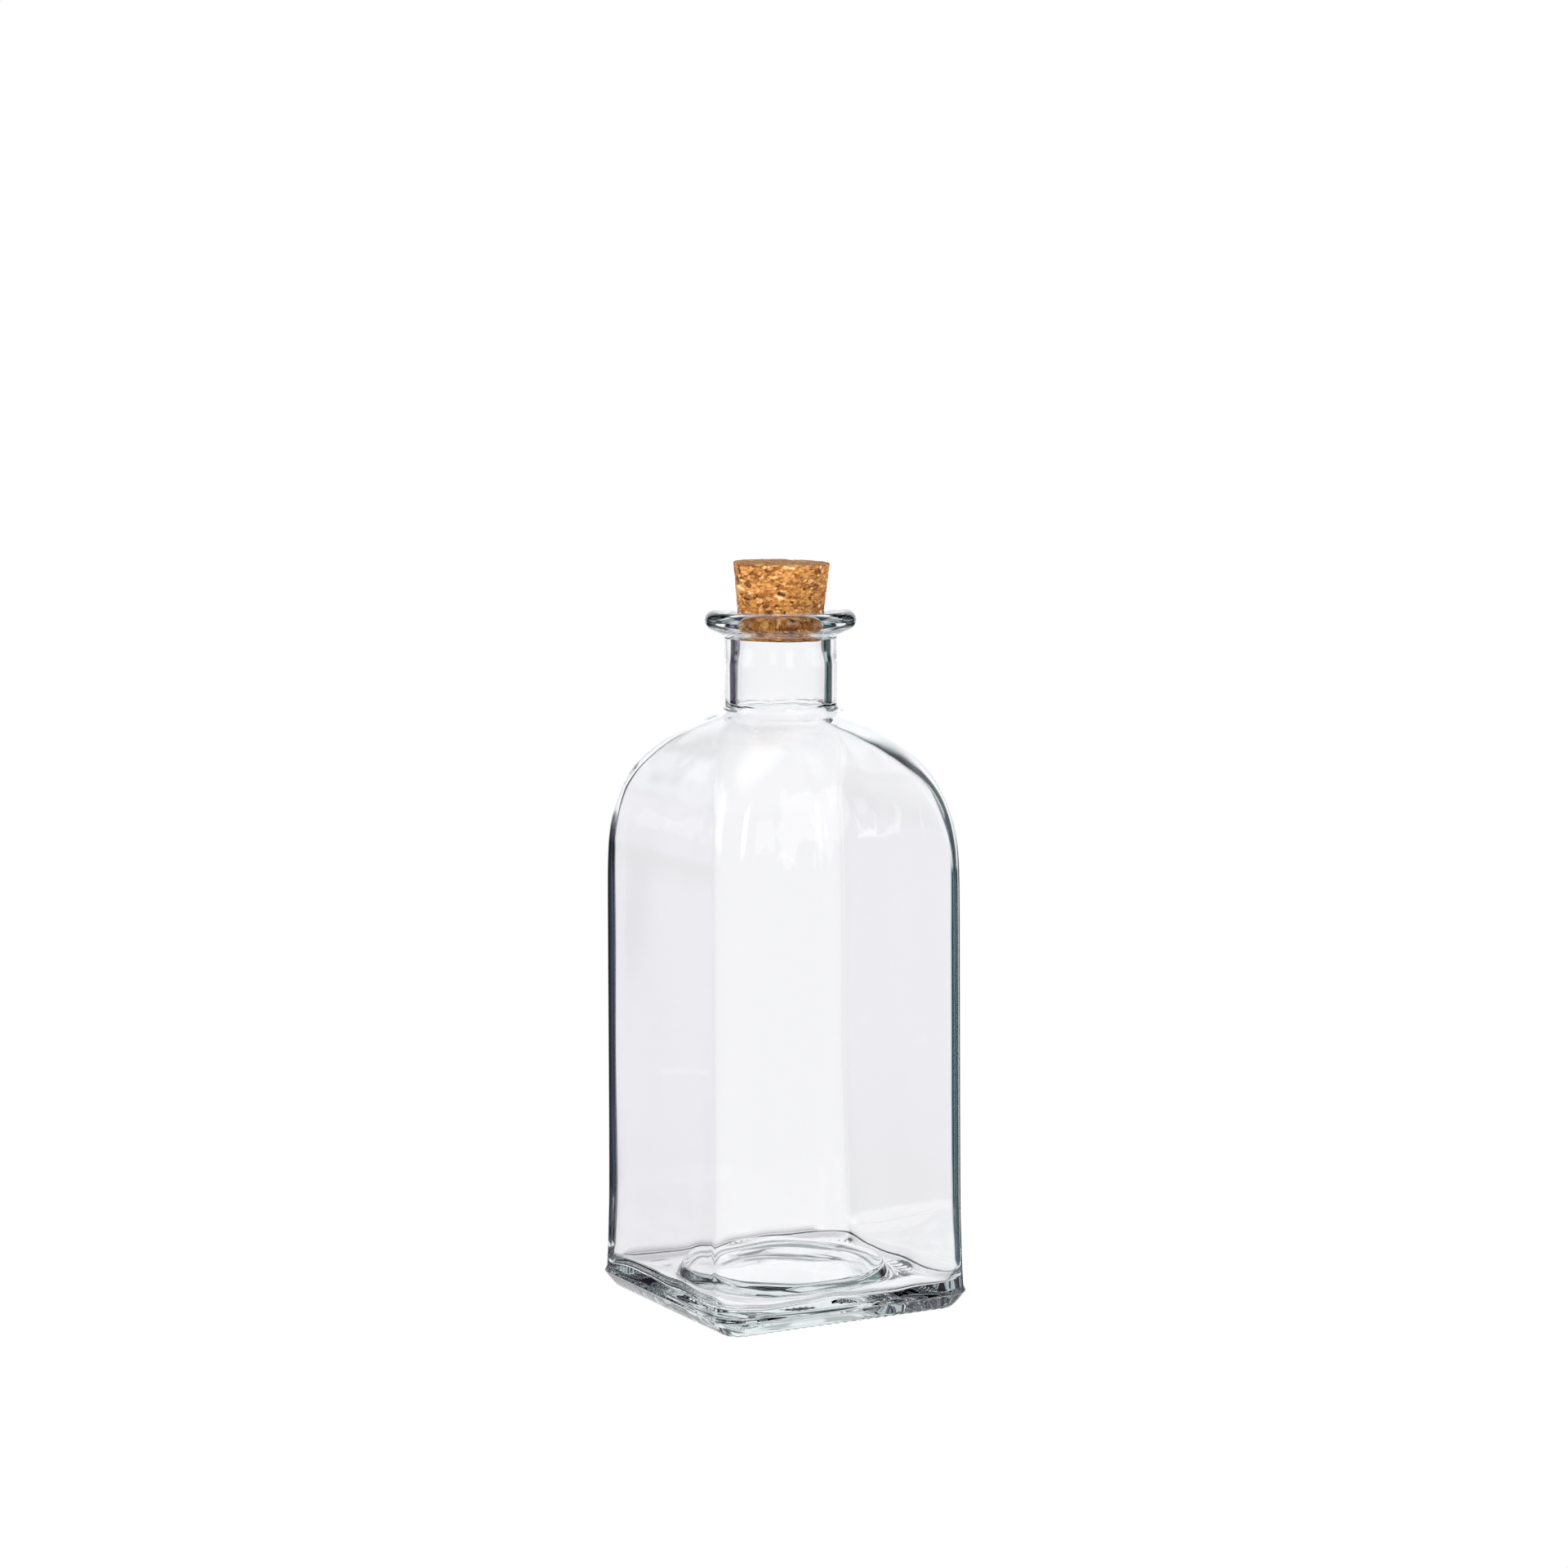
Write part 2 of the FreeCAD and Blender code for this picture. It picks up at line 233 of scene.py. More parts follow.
def glass_rows():
    """Rings of the whole skin of the glass, in order: from the middle of the
    underside outwards, up the outside, over the lip, down the inside and in
    across the floor. Each row: half width, corner radius, height, zone."""
    rows = []

    def add(a, r, z, zone):
        rows.append((a, np.minimum(r, a), z, zone))

    # underside: shallow hollow, then the flat ring that stands on the table
    for a in (1.2, 3.0, 6.0, 9.0, 12.0, 15.0, 18.0, 20.5, 23.0):
        add(a, a, float(cap_height(a, 23.0, 2.3, 3.4)), "under")
    for a, z in arc3((23.0, 2.3), (28.0, 1.5), (31.0, 0.0), 8):
        add(a, a, z, "under")
    for t in (0.12, 0.25, 0.38):
        add(31.0 + 7.6 * t, 31.0 - 26.42 * t, 0.0, "under")
    for t in (0.5, 0.58, 0.66, 0.74, 0.82, 0.9, 0.96, 1.0):
        add(31.0 + 7.6 * t, 31.0 - 26.42 * t, 0.0, "knurl")
    foot_s = (0.0, 0.6, 2.1, 3.3, 4.3, 5.4)
    foot_z = (5.4, 4.4, 2.35, 1.0, 0.3, 0.0)
    for s in (5.0, 4.6, 4.2, 3.8, 3.4, 3.0):
        add(44.0 - s, 8.9 - 0.8 * s, float(monotone(foot_s, foot_z, s)), "knurl")
    for s in (2.6, 2.1, 1.6, 1.15, 0.75, 0.42, 0.2, 0.06):
        add(44.0 - s, 8.9 - 0.8 * s, float(monotone(foot_s, foot_z, s)), "foot")
    # the mould seam just above the foot, a soft edge
    add(44.0 - 0.01, 8.9, 5.25, "foot")
    add(44.0 - 0.02, 8.9, 5.5, "foot")
    for a, z in ((43.9, 5.68), (43.74, 5.95), (43.58, 6.3)):
        add(a, 8.8, z, "foot")
    # sides and shoulder
    zs = [6.75, 7.4, 8.2, 9.2, 10.5, 12.0, 14.0, 16.0, 18.5, 21.0, 24.0, 27.0]
    zs += list(np.arange(30.0, 128.0, 3.6))
    zs += list(np.arange(128.0, 160.0, 1.4)) + list(np.arange(160.0, 176.0, 0.9))
    zs += list(np.arange(176.0, 183.6, 0.55)) + [183.6]
    for z in zs:
        a, r = outline(z)
        add(float(a), float(r), float(z), "side")
    for a, z in arc3((18.7, 184.62), (17.62, 185.45), (NECK_R, 186.7), 8):
        add(a, a, z, "neck")
    for z in np.arange(188.2, 206.6, 1.5):
        add(NECK_R, NECK_R, float(z), "neck")
    # lip
    add(NECK_R, NECK_R, LIP_ROOT_Z - 0.9, "lip")
    for a, z in arc3((NECK_R, LIP_ROOT_Z - 0.9), (NECK_R + 0.28, LIP_ROOT_Z - 0.2), (NECK_R + 0.95, LIP_ROOT_Z + 0.25), 5):
        add(a, a, z, "lip")
    for t in (0.25, 0.5, 0.75, 1.0):
        add(NECK_R + 0.95 + t * (LIP_R - 2.0 - NECK_R - 0.95), 99, LIP_ROOT_Z + 0.25 + t * 1.45, "lip")
    for a, z in arc3((LIP_R - 2.0, LIP_ROOT_Z + 1.7), (LIP_R, LIP_WIDE_Z), (LIP_R - 2.4, LIP_TOP_Z - 0.12), 22):
        add(a, a, z, "lip")
    for t in (0.2, 0.45, 0.7, 1.0):
        a = LIP_R - 2.4 + t * (MOUTH_R + 2.6 - LIP_R + 2.4)
        add(a, a, LIP_TOP_Z - 0.12 + 0.12 * t, "lip")
    for a, z in arc3((MOUTH_R + 1.3, LIP_TOP_Z), (MOUTH_R + 0.38, LIP_TOP_Z - 0.38), (MOUTH_R, LIP_TOP_Z - 1.3), 7):
        add(a, a, z, "bore")
    # mouth and neck, inside
    for z in (213.4, 212.3, 211.0, 209.5, 208.0, 206.6, 205.5):
        add(MOUTH_R, MOUTH_R, z, "bore")
    for t in (0.0, 0.15, 0.3, 0.45, 0.6, 0.75, 0.9, 1.0):
        e = float(smoothstep(0, 1, t))
        add(MOUTH_R + e * (BORE_R - MOUTH_R), 99, 205.0 - 7.0 * t, "bore")
    for z in np.arange(196.8, 188.0, -1.4):
        add(BORE_R, BORE_R, float(z), "bore")
    for z in np.linspace(187.6, 185.1, 18):
        add(BORE_R, BORE_R, float(z), "bore")
    # inside of the shoulder: the outline moved in by the wall
    arch_z = np.concatenate([np.arange(130.0, 183.6, 0.8), [183.6]])
    a, r = outline(arch_z)
    da, dz = np.gradient(a), np.gradient(arch_z)
    length = np.hypot(da, dz)
    ia, iz = a - dz / length * WALL, arch_z + da / length * WALL
    # the wall thickens towards the neck
    thick = 1.0 * smoothstep(158.0, 180.0, arch_z)
    ia, iz = ia - dz / length * thick, iz + da / length * thick
    ir = np.maximum(IN_R[None, :], np.minimum(r - 1.2, ia - 0.25)[:, None])
    ir = IN_R + (ir - IN_R) * smoothstep(136.0, 160.0, arch_z)[:, None]
    keep = (ia > BORE_R + 1.0) & (iz < 182.6)
    ia, iz, ir = ia[keep][::-1], iz[keep][::-1], ir[keep][::-1]
    first = (float(ia[0]), float(iz[0]))
    for a1, z1 in arc3((BORE_R, 184.9), ((BORE_R * 0.72 + first[0] * 0.28), 183.3), first, 8)[:-1]:
        t = (a1 - BORE_R) / (first[0] - BORE_R)
        add(a1, a1 + t * (ir[0] - first[0]), z1, "inside")
    for a1, z1, r1 in zip(ia, iz, ir):
        add(float(a1), r1, float(z1), "inside")
    low = float(iz[-1])
    for z in list(np.arange(low - 3.0, 30.0, -3.6)) + [27.0, 24.0, 21.0, 18.0, 15.5, 13.6, 12.2]:
        a1, _ = outline(z)
        add(float(a1) - WALL, IN_R, float(z), "inside")
    # floor: in from the walls, then round to the raised middle
    for d in (0.1, 0.2, 0.35, 0.55, 0.8, 1.1, 1.5, 1.95, 2.5, 3.2, 4.0, 4.8, 5.5):
        add(SKIRT - d, IN_R + (7.2 - IN_R) * smoothstep(0.0, 3.0, d), None, "floor")
    for a1, r1 in ((34.75, 8.2), (34.6, 10.2), (34.45, 12.6), (34.3, 15.2), (34.15, 18.0), (34.0, 21.0),
                   (33.85, 24.2), (33.65, 27.4), (33.4, 30.2), (33.1, 32.2), (32.75, 32.75)):
        add(a1, r1, None, "floor")
    for a1 in (32.4, 32.0, 31.6, 31.2, 30.8, 30.3, 29.6, 28.6, 27.4, 26.0, 24.4, 22.6, 20.6, 18.4, 16.0,
               13.4, 10.6, 7.8, 5.0, 2.4):
        add(a1, a1, None, "floor")
    return rows


def build_glass():
    rows = glass_rows()
    points, starts, counts, zones, heights = [], [], [], [], []
    total = 0
    for a, r, z, zone in rows:
        n = N * FINE if zone == "knurl" else N
        xy = ring(a, r, n)
        if zone == "bore" and z < 188.0:
            # a low uneven ridge where the neck meets the shoulder
            phi = np.arctan2(xy[:, 1], xy[:, 0])
            crest = 186.3 + 0.30 * np.sin(3 * phi + 0.7) + 0.16 * np.sin(7 * phi + 2.0) + 0.09 * np.sin(17 * phi)
            high = 0.45 * (0.72 + 0.28 * np.sin(2 * phi + 1.9))
            xy = xy * (1 - high * np.exp(-((z - crest) / 0.42) ** 2) / BORE_R)[:, None]
        if zone == "inside":
            xy = xy + IN_SHIFT * float(1 - smoothstep(150.0, 180.0, z))
        elif zone == "floor":
            xy = xy + IN_SHIFT * float(smoothstep(30.0, 39.0, a))
        zz = floor_height(xy[:, 0], xy[:, 1]) if z is None else np.full(n, z)
        points.append(np.column_stack([xy, zz]))
        starts.append(total)
        counts.append(n)
        zones.append(zone)
        total += n

    # the notched foot ring
    tooth = np.arange(N * FINE) / (N * FINE) * TEETH
    notch = 0.5 - 0.5 * np.cos(TAU * tooth)
    notch = notch ** 1.4
    knurl_rows = [j for j, zn in enumerate(zones) if zn == "knurl"]
    for k, j in enumerate(knurl_rows):
        t = k / (len(knurl_rows) - 1)
        strength = float(smoothstep(0.30, 0.55, t) * (1 - smoothstep(0.80, 1.0, t)))
        p = points[j]
        radial = p[:, :2] / np.linalg.norm(p[:, :2], axis=1)[:, None]
        inward = 0.35 * float(smoothstep(0.45, 0.8, t))
        p[:, 2] += KNURL * strength * notch
        p[:, :2] -= radial * (KNURL * strength * notch * inward)[:, None]

    # normals of the smooth skin, for moving points along them
    flat_normals = []
    nr = len(rows)
    for j in range(nr):
        p = points[j]
        n = len(p)

        def same(k):
            q = points[k]
            if len(q) == n:
                return q
            if len(q) > n:
                return q[:: len(q) // n]
            return np.repeat(q, n // len(q), axis=0)

        before = same(max(j - 1, 0))
        after = same(min(j + 1, nr - 1))
        along = after - before
        around = np.roll(p, -1, 0) - np.roll(p, 1, 0)
        nn = np.cross(around, along)
        nn /= np.maximum(np.linalg.norm(nn, axis=1), 1e-9)[:, None]
        flat_normals.append(nn)

    # hand-made unevenness
    for j in range(nr):
        p, nn, zone = points[j], flat_normals[j], zones[j]
        z = p[:, 2]
        if zone in ("under", "knurl"):
            push = swell(11, p, ((26.0, 0.05, 5, 1.0),)) if zone == "under" else 0.0
            if zone == "under":
                push = push * (1 - smoothstep(29.0, 31.0, np.hypot(p[:, 0], p[:, 1])))
            p += nn * np.reshape(push, (-1, 1)) if zone == "under" else 0.0
        elif zone in ("foot", "side"):
            push = swell(12, p, ((70.0, 0.05, 6, 2.0), (24.0, 0.012, 8, 2.5)))
            push = push * smoothstep(6.0, 16.0, z)
            q = np.sort(np.abs(p[:, :2]), axis=1)
            push = push * (1 - 0.8 * smoothstep(24.0, 34.0, q[:, 0]))
            p += nn * push[:, None]
        elif zone in ("neck", "lip"):
            push = swell(13, p, ((18.0, 0.02, 6, 1.0),))
            p += nn * push[:, None]
        elif zone == "bore":
            push = swell(14, p, ((14.0, 0.03, 6, 2.0),)) * (1 - smoothstep(200.0, 204.0, z))
            p += nn * push[:, None]
        elif zone == "inside":
            top = smoothstep(150.0, 178.0, z)
            low = 1 - smoothstep(14.0, 40.0, z)
            push = swell(15, p, ((60.0, 0.14, 6, 2.2), (24.0, 0.045, 9, 2.6)))
            push = push * (1 + 1.3 * top + 0.8 * low)
            push = push + top * swell(18, p, ((14.0, 0.055, 9, 1.0),))
            q = np.sort(np.abs(p[:, :2]), axis=1)
            corner = smoothstep(24.0, 34.0, q[:, 0]) * (1 - top)
            push = push * (1 - 0.9 * corner)
            # the left corner wanders a little on its way down
            left = corner * (p[:, 0] < 0) * (p[:, 1] > 0)
            push = push + left * 0.10 * np.sin(TAU * (z - 20.0) / 74.0)
            p += nn * push[:, None]
            p[:, 2] += low * swell(16, p * np.array([1, 1, 0]), ((36.0, 0.62, 5, 1.0), (17.0, 0.26, 5, 1.0)))
        elif zone == "floor":
            rho = np.hypot(p[:, 0], p[:, 1])
            edge = smoothstep(28.0, 38.0, rho)
            lift = edge * swell(16, p * np.array([1, 1, 0]), ((36.0, 0.62, 5, 1.0), (17.0, 0.26, 5, 1.0)))
            lift = lift + (1 - edge) * swell(17, p * np.array([1, 1, 0]), ((22.0, 0.26, 6, 1.0), (11.0, 0.05, 8, 1.0)))
            p[:, 2] += lift

    faces = []
    for j in range(nr - 1):
        n0, n1 = counts[j], counts[j + 1]
        s0, s1 = starts[j], starts[j + 1]
        if n0 == n1:
            i = np.arange(n0)
            k = (i + 1) % n0
            faces.extend(np.stack([s0 + i, s0 + k, s1 + k, s1 + i], -1).tolist())
        elif n1 > n0:
            f = n1 // n0
            for i in range(n0):
                k = (i + 1) % n0
                mid = f // 2
                for q in range(f):
                    b0, b1 = s1 + i * f + q, s1 + (i * f + q + 1) % n1
                    if q == mid:
                        faces.append([s0 + i, s0 + k, b1, b0])
                    else:
                        a = s0 + (i if q < mid else k)
                        faces.append([a, b1, b0])
        else:
            f = n0 // n1
            for i in range(n1):
                k = (i + 1) % n1
                mid = f // 2
                for q in range(f):
                    b0, b1 = s0 + i * f + q, s0 + (i * f + q + 1) % n0
                    if q == mid:
                        faces.append([b0, b1, s1 + k, s1 + i])
                    else:
                        a = s1 + (i if q < mid else k)
                        faces.append([b0, b1, a])
    verts = np.concatenate(points)
    verts[:, 2] = np.maximum(verts[:, 2], 0.0)
    # close the underside and the floor at the axis
    first_centre = len(verts)
    z_in = 3.4
    z_out = float(points[-1][:, 2].mean())
    verts = np.concatenate([verts, [[0, 0, z_in], [0, 0, z_out]]])
    i = np.arange(N)
    k = (i + 1) % N
    faces.extend(np.stack([np.full(N, first_centre), k, i], -1).tolist())
    last = starts[-1]
    faces.extend(np.stack([last + i, last + k, np.full(N, first_centre + 1)], -1).tolist())
    return new_mesh("bottle_glass", verts * MM, faces)


glass = build_glass()


def glass_material():
    mat = bpy.data.materials.new("bottle_glass")
    mat.use_nodes = True
    nt = mat.node_tree
    nt.nodes.clear()
    out = nt.nodes.new("ShaderNodeOutputMaterial")
    bsdf = nt.nodes.new("ShaderNodeBsdfPrincipled")
    bsdf.inputs["Base Color"].default_value = (1.0, 1.0, 1.0, 1.0)
    bsdf.inputs["Metallic"].default_value = 0.0
    bsdf.inputs["Roughness"].default_value = 0.0
    bsdf.inputs["IOR"].default_value = 1.52
    bsdf.inputs["Transmission Weight"].default_value = 1.0
    nt.links.new(bsdf.outputs["BSDF"], out.inputs["Surface"])
    vol = nt.nodes.new("ShaderNodeVolumeAbsorption")
    vol.inputs["Color"].default_value = (0.42, 0.61, 0.57, 1.0)
    vol.inputs["Density"].default_value = 3.6
    nt.links.new(vol.outputs["Volume"], out.inputs["Volume"])
    # faint ripples of pressed glass
    coord = nt.nodes.new("ShaderNodeTexCoord")
    mapping = nt.nodes.new("ShaderNodeMapping")
    mapping.inputs["Scale"].default_value = (1.0, 1.0, 0.45)
    noise = nt.nodes.new("ShaderNodeTexNoise")
    noise.inputs["Scale"].default_value = 85.0
    noise.inputs["Detail"].default_value = 2.0
    bump = nt.nodes.new("ShaderNodeBump")
    bump.inputs["Strength"].default_value = 0.06
    bump.inputs["Distance"].default_value = 0.0004
    nt.links.new(coord.outputs["Object"], mapping.inputs["Vector"])
    nt.links.new(mapping.outputs["Vector"], noise.inputs["Vector"])
    nt.links.new(noise.outputs["Fac"], bump.inputs["Height"])
    nt.links.new(bump.outputs["Normal"], bsdf.inputs["Normal"])
    return mat


glass.data.materials.append(glass_material())
glass.visible_shadow = False
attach(glass, "root")
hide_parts("bottle")

# -------------------------------------------------------------------- cork
CORK_TOP_Z, CORK_BOTTOM_Z = 230.2, 206.7
CORK_TOP_R, CORK_BOTTOM_R = 14.9, 12.4
CORK_TILT, CORK_LEANS_TO = math.radians(1.3), math.radians(-28.6)


def crumb_cells(q, seed, size):
    """Nearest jittered seed for each point: its number and the distance to
    the border with the next one, in units of the cell width."""
    rng = np.random.RandomState(seed)
    lo = np.array([-20.0, -20.0, 202.0])
    count = np.ceil((np.array([20.0, 20.0, 235.0]) - lo) / size).astype(int) + 2
    seeds = rng.uniform(0, 1, tuple(count) + (3,))
    u = (q - lo) / size
    cell = np.floor(u).astype(int)
    near = np.full(len(q), 9.0)
    second = np.full(len(q), 9.0)
    best = np.zeros(len(q), int)
    for dx in (-1, 0, 1):
        for dy in (-1, 0, 1):
            for dz in (-1, 0, 1):
                c = np.clip(cell + (dx, dy, dz), 0, count - 1)
                d = np.linalg.norm(c + seeds[c[:, 0], c[:, 1], c[:, 2]] - u, axis=1)
                first = d < near
                second = np.where(first, near, np.minimum(second, d))
                best = np.where(first, np.ravel_multi_index(c.T, tuple(count)), best)
                near = np.where(first, d, near)
    return best, second - near, rng.uniform(size=(int(np.prod(count)), 4))


def granules(p):
    """Pressed cork crumbs, large ones and small ones mixed, flattened by the
    pressing: distance to the border between crumbs and each crumb's values."""
    warp = np.stack([swell(50 + i, p, ((3.4, 0.30, 7, 1.0), (1.3, 0.13, 7, 1.0))) for i in range(3)], -1)
    q = p + warp * np.array([1.0, 1.0, 0.55])
    big, gap_big, val_big = crumb_cells(q, 41, np.array([3.1, 3.1, 1.55]))
    small, gap_small, val_small = crumb_cells(q + 0.4, 43, np.array([1.55, 1.55, 0.85]))
    use_big = (val_big[big, 3] < 0.42)[:, None]
    gap = np.where(use_big[:, 0], gap_big * 1.9, gap_small)
    return gap, np.where(use_big, val_big[big], val_small[small])


def build_cork():
    around, tall = 330, 92
    slope = (CORK_TOP_R - CORK_BOTTOM_R) / (CORK_TOP_Z - CORK_BOTTOM_Z)
    rows = []          # radius, height, outward normal (radial, up)
    for a in np.linspace(0.35, CORK_BOTTOM_R - 0.6, 30):
        rows.append((a, CORK_BOTTOM_Z, 0.0, -1.0))
    for t in np.linspace(0, 1, 4):
        ang = -math.pi / 2 + t * math.pi / 2
        rows.append((CORK_BOTTOM_R - 0.5 + 0.5 * math.cos(ang), CORK_BOTTOM_Z + 0.5 + 0.5 * math.sin(ang), math.cos(ang), math.sin(ang)))
    for t in np.linspace(0, 1, tall)[1:-1]:
        z = CORK_BOTTOM_Z + 0.5 + t * (CORK_TOP_Z - CORK_BOTTOM_Z - 1.0)
        rows.append((CORK_BOTTOM_R + slope * (z - CORK_BOTTOM_Z), z, 1.0, 0.0))
    for t in np.linspace(0, 1, 4):
        ang = t * math.pi / 2
        rows.append((CORK_TOP_R - 0.5 + 0.5 * math.cos(ang), CORK_TOP_Z - 0.5 + 0.5 * math.sin(ang), math.cos(ang), math.sin(ang)))
    for a in np.linspace(CORK_TOP_R - 0.6, 0.35, 46)[1:]:
        rows.append((a, CORK_TOP_Z, 0.0, 1.0))
    phi = np.arange(around) / around * TAU
    cs = np.stack([np.cos(phi), np.sin(phi)], -1)
    pts, nrm = [], []
    for a, z, nr_, nz_ in rows:
        pts.append(np.column_stack([cs * a, np.full(around, z)]))
        nrm.append(np.column_stack([cs * nr_, np.full(around, nz_)]))
    pts, nrm = np.concatenate(pts), np.concatenate(nrm)
    centre = len(pts)
    pts = np.concatenate([pts, [[0, 0, CORK_BOTTOM_Z], [0, 0, CORK_TOP_Z]]])
    nrm = np.concatenate([nrm, [[0, 0, -1], [0, 0, 1]]])

    gap, value = granules(pts)
    tone = value[:, 0]
    # seams between crumbs, and the odd crumb that has broken out
    seam = (1 - smoothstep(0.03, 0.22, gap)) * smoothstep(0.35, 1.0, value[:, 2])
    broken = smoothstep(0.955, 0.965, value[:, 1]) * smoothstep(0.05, 0.3, gap)
    dent = 0.04 + 0.16 * seam + 0.09 * value[:, 1] + 0.45 * broken
    # flat dark flecks and a few wormholes
    flat = pts * np.array([1.0, 1.0, 2.6])
    fleck = smoothstep(1.75, 2.3, swell(61, flat, ((2.3, 1.0, 12, 1.0),)))
    hole = smoothstep(2.2, 2.6, swell(63, flat * np.array([1, 1, 0.6]), ((2.6, 1.0, 12, 1.0),)))
    dent = dent + 0.30 * fleck + 0.75 * hole
    dent = dent + 0.03 * swell(62, pts, ((0.9, 1.0, 10, 1.0),)).clip(-1, 1)
    pts = pts - nrm * dent.clip(0.02, 1.3)[:, None]

    pivot = np.array([0, 0, LIP_TOP_Z - 1.9])
    axis = Vector((-math.sin(CORK_LEANS_TO), math.cos(CORK_LEANS_TO), 0))
    rot = np.array(Matrix.Rotation(CORK_TILT, 3, axis))
    pts = (pts - pivot) @ rot.T + pivot

    faces = []
    i = np.arange(around)
    k = (i + 1) % around
    for j in range(len(rows) - 1):
        s0, s1 = j * around, (j + 1) * around
        faces.extend(np.stack([s0 + i, s0 + k, s1 + k, s1 + i], -1).tolist())
    faces.extend(np.stack([np.full(around, centre), k, i], -1).tolist())
    last = (len(rows) - 1) * around
    faces.extend(np.stack([last + i, last + k, np.full(around, centre + 1)], -1).tolist())
    ob = new_mesh("cork_stopper", pts * MM, faces)
    dark = np.maximum(np.maximum(seam * 0.8, broken * 0.85), np.maximum(fleck * 0.8, hole))
    # how far the surface faces up; the material darkens and greys the top by it
    facing_up = np.clip(nrm[:, 2], 0, 1)
    col = ob.data.color_attributes.new("crumbs", "FLOAT_COLOR", "POINT")
    rgba = np.column_stack([tone, dark, facing_up, np.ones(len(tone))]).astype(np.float32)
    col.data.foreach_set("color", rgba.ravel())
    return ob


cork = build_cork()


def ramp(nt, stops):
    node = nt.nodes.new("ShaderNodeValToRGB")
    el = node.color_ramp.elements
    while len(el) < len(stops):
        el.new(0.5)
    for e, (pos, rgb) in zip(el, stops):
        e.position = pos
        e.color = (*rgb, 1.0)
    return node


def cork_material():
    mat = bpy.data.materials.new("cork_stopper")
    mat.use_nodes = True
    nt = mat.node_tree
    nt.nodes.clear()
    out = nt.nodes.new("ShaderNodeOutputMaterial")
    bsdf = nt.nodes.new("ShaderNodeBsdfPrincipled")
    nt.links.new(bsdf.outputs["BSDF"], out.inputs["Surface"])
    bsdf.inputs["Metallic"].default_value = 0.0
    bsdf.inputs["IOR"].default_value = 1.4
    coord = nt.nodes.new("ShaderNodeTexCoord")
    attr = nt.nodes.new("ShaderNodeVertexColor")
    attr.layer_name = "crumbs"
    sep = nt.nodes.new("ShaderNodeSeparateColor")
    nt.links.new(attr.outputs["Color"], sep.inputs["Color"])
    # crumb colour
    tone = ramp(nt, ((0.0, (0.17, 0.058, 0.014)), (0.2, (0.35, 0.138, 0.034)), (0.5, (0.47, 0.205, 0.054)),
                     (0.8, (0.58, 0.275, 0.085)), (0.94, (0.70, 0.38, 0.15)), (1.0, (0.86, 0.58, 0.30))))
    nt.links.new(sep.outputs["Red"], tone.inputs["Fac"])
    # fine mottling inside each crumb
    fine = nt.nodes.new("ShaderNodeTexNoise")
    fine.inputs["Scale"].default_value = 620.0
    fine.inputs["Detail"].default_value = 5.0
    fine.inputs["Roughness"].default_value = 0.72
    flat = nt.nodes.new("ShaderNodeMapping")
    flat.inputs["Scale"].default_value = (1.0, 1.0, 2.4)
    nt.links.new(coord.outputs["Object"], flat.inputs["Vector"])
    nt.links.new(flat.outputs["Vector"], fine.inputs["Vector"])
    mottle = ramp(nt, ((0.35, (0.26, 0.15, 0.09)), (0.45, (0.84, 0.79, 0.72)), (0.54, (1.06, 1.06, 1.03)), (0.66, (1.46, 1.56, 1.66))))
    nt.links.new(fine.outputs["Fac"], mottle.inputs["Fac"])
    mul = nt.nodes.new("ShaderNodeMix")
    mul.data_type = "RGBA"
    mul.blend_type = "MULTIPLY"
    mul.inputs["Factor"].default_value = 1.0
    # the top is mixed towards a darker, greyer brown than the side, by how far the surface faces up
    top_mix = nt.nodes.new("ShaderNodeMix")
    top_mix.data_type = "RGBA"
    top_mix.inputs["B"].default_value = (0.225, 0.120, 0.056, 1.0)
    half = nt.nodes.new("ShaderNodeMath")
    half.operation = "MULTIPLY"
    half.inputs[1].default_value = 0.75
    nt.links.new(sep.outputs["Blue"], half.inputs[0])
    nt.links.new(half.outputs["Value"], top_mix.inputs["Factor"])
    nt.links.new(tone.outputs["Color"], top_mix.inputs["A"])
    nt.links.new(top_mix.outputs["Result"], mul.inputs["A"])
    nt.links.new(mottle.outputs["Color"], mul.inputs["B"])
    # dark seams and pits
    dark = nt.nodes.new("ShaderNodeMix")
    dark.data_type = "RGBA"
    dark.inputs["B"].default_value = (0.055, 0.018, 0.007, 1.0)
    edge = ramp(nt, ((0.22, (0, 0, 0)), (0.85, (0.95, 0.95, 0.95))))
    nt.links.new(sep.outputs["Green"], edge.inputs["Fac"])
    nt.links.new(edge.outputs["Color"], dark.inputs["Factor"])
    nt.links.new(mul.outputs["Result"], dark.inputs["A"])
    nt.links.new(dark.outputs["Result"], bsdf.inputs["Base Color"])
    rough = nt.nodes.new("ShaderNodeMapRange")
    rough.inputs["To Min"].default_value = 0.62
    rough.inputs["To Max"].default_value = 0.9
    nt.links.new(fine.outputs["Fac"], rough.inputs["Value"])
    nt.links.new(rough.outputs["Result"], bsdf.inputs["Roughness"])
    bump = nt.nodes.new("ShaderNodeBump")
    bump.inputs["Strength"].default_value = 0.5
    bump.inputs["Distance"].default_value = 0.0002
    nt.links.new(fine.outputs["Fac"], bump.inputs["Height"])
    nt.links.new(bump.outputs["Normal"], bsdf.inputs["Normal"])
    return mat


cork.data.materials.append(cork_material())
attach(cork, "root")
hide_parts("cork")

# ------------------------------------------------------------------ studio
# A turntable studio: backdrop, cards and lamps stand in the same place round
# the camera whichever side of the bottle it looks at.
rig = bpy.data.objects.new("studio_rig", None)
bpy.context.scene.collection.objects.link(rig)
turn = rig.constraints.new("LOCKED_TRACK")
turn.target = camera
turn.track_axis = "TRACK_NEGATIVE_Y"
turn.lock_axis = "LOCK_Z"


